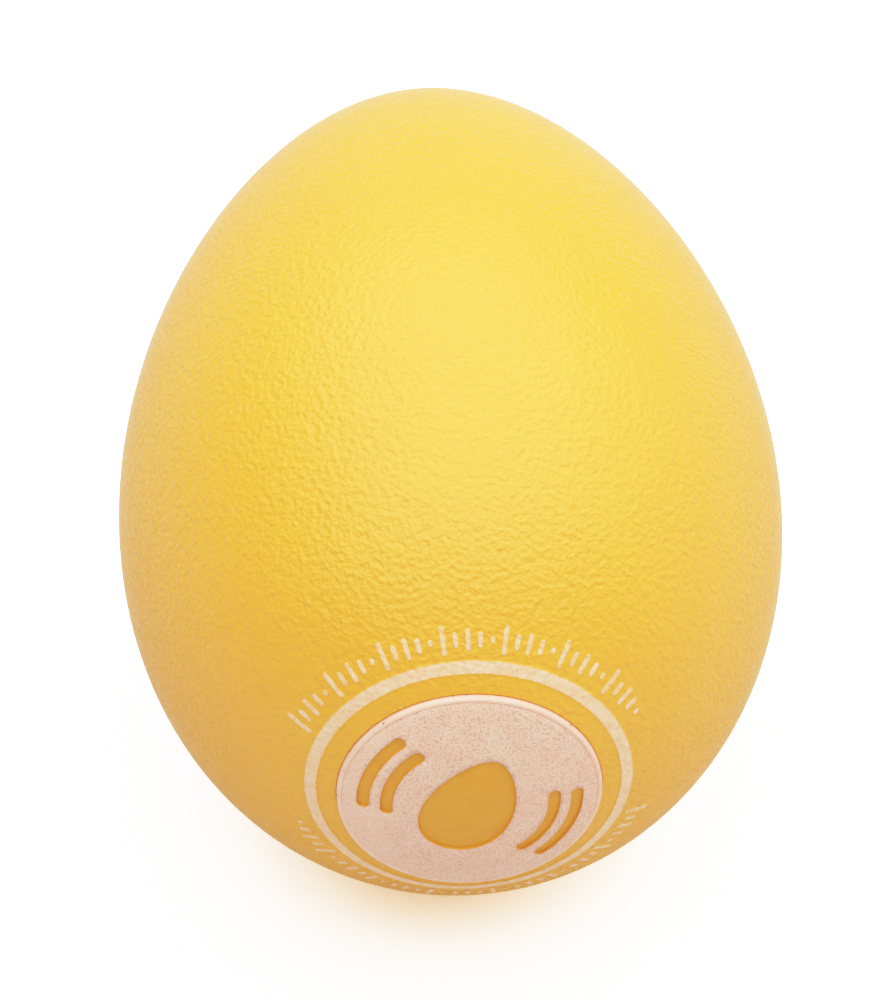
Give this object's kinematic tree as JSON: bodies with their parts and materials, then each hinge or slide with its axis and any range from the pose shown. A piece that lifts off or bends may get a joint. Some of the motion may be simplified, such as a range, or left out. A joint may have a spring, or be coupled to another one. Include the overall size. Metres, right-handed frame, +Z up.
{
  "type": "egg shaker",
  "caption": "Hollow plastic egg rattle: a seamless grained shell closed by a domed end plug with printed rings and marks, part filled with loose steel shot.",
  "frame": {"origin": "on the ground under the middle of the egg's bounding box, as it lies on its side", "axes": "+Y from the blunt end and its plug to the pointed end, along the egg's long axis; +Z up; +X to the right as seen from the plug's end"},
  "size_m": [0.042, 0.06, 0.0419],
  "materials": {
    "shell_plastic": "satin yellow, moulded with a fine orange-peel grain",
    "plug_plastic": "satin yellow, a little smoother than the shell",
    "disc_ink": "matt pinkish beige print over a fine grain",
    "line_ink": "matt pale cream print",
    "shot_steel": "bright tumbled steel balls"
  },
  "bodies": {
    "egg": {"shell": "shell_plastic", "end_plug": "plug_plastic", "print_disc": "disc_ink", "print_ring": "line_ink", "print_legend_upper": "line_ink", "print_legend_lower": "line_ink"},
    "shot_row_01": {"shot_row_01": "shot_steel"},
    "shot_row_02": {"shot_row_02": "shot_steel"},
    "shot_row_03": {"shot_row_03": "shot_steel"},
    "shot_row_04": {"shot_row_04": "shot_steel"},
    "shot_row_05": {"shot_row_05": "shot_steel"},
    "shot_row_06": {"shot_row_06": "shot_steel"},
    "shot_row_07": {"shot_row_07": "shot_steel"},
    "shot_row_08": {"shot_row_08": "shot_steel"},
    "shot_row_09": {"shot_row_09": "shot_steel"},
    "shot_dart_left": {"shot_dart_left": "shot_steel"},
    "shot_dart_right": {"shot_dart_right": "shot_steel"},
    "shot_hop_1": {"shot_hop_1": "shot_steel"},
    "shot_hop_2": {"shot_hop_2": "shot_steel"},
    "shot_hop_3": {"shot_hop_3": "shot_steel"},
    "shot_hop_4": {"shot_hop_4": "shot_steel"}
  },
  "joints": [
    {"name": "shot_row_01_swirl", "type": "hinge", "parent": "egg", "child": "shot_row_01", "pos_m": [0, -0.02133, 0.02088], "axis": [0, 1, 0], "continuous": true},
    {"name": "shot_row_02_swirl", "type": "hinge", "parent": "egg", "child": "shot_row_02", "pos_m": [0, -0.01827, 0.02088], "axis": [0, 1, 0], "continuous": true},
    {"name": "shot_row_03_swirl", "type": "hinge", "parent": "egg", "child": "shot_row_03", "pos_m": [0, -0.01523, 0.02088], "axis": [0, 1, 0], "continuous": true},
    {"name": "shot_row_04_swirl", "type": "hinge", "parent": "egg", "child": "shot_row_04", "pos_m": [0, -0.01218, 0.02088], "axis": [0, 1, 0], "continuous": true},
    {"name": "shot_row_05_swirl", "type": "hinge", "parent": "egg", "child": "shot_row_05", "pos_m": [0, -0.00912, 0.02088], "axis": [0, 1, 0], "continuous": true},
    {"name": "shot_row_06_swirl", "type": "hinge", "parent": "egg", "child": "shot_row_06", "pos_m": [0, -0.00607, 0.02088], "axis": [0, 1, 0], "continuous": true},
    {"name": "shot_row_07_swirl", "type": "hinge", "parent": "egg", "child": "shot_row_07", "pos_m": [0, -0.00302, 0.02088], "axis": [0, 1, 0], "continuous": true},
    {"name": "shot_row_08_swirl", "type": "hinge", "parent": "egg", "child": "shot_row_08", "pos_m": [0, 0.00003, 0.02088], "axis": [0, 1, 0], "continuous": true},
    {"name": "shot_row_09_swirl", "type": "hinge", "parent": "egg", "child": "shot_row_09", "pos_m": [0, 0.00308, 0.02088], "axis": [0, 1, 0], "continuous": true},
    {"name": "shot_dart_left_slide", "type": "slide", "parent": "egg", "child": "shot_dart_left", "axis": [0, 1, 0], "range_m": [-0.0125, 0.03]},
    {"name": "shot_dart_right_slide", "type": "slide", "parent": "egg", "child": "shot_dart_right", "axis": [0, 1, 0], "range_m": [-0.0125, 0.03]},
    {"name": "shot_hop_1_rise", "type": "slide", "parent": "egg", "child": "shot_hop_1", "axis": [0, 0, 1], "range_m": [0, 0.0312]},
    {"name": "shot_hop_2_rise", "type": "slide", "parent": "egg", "child": "shot_hop_2", "axis": [0, 0, 1], "range_m": [0, 0.0292]},
    {"name": "shot_hop_3_rise", "type": "slide", "parent": "egg", "child": "shot_hop_3", "axis": [0, 0, 1], "range_m": [0, 0.0267]},
    {"name": "shot_hop_4_rise", "type": "slide", "parent": "egg", "child": "shot_hop_4", "axis": [0, 0, 1], "range_m": [0, 0.0237]}
  ]
}
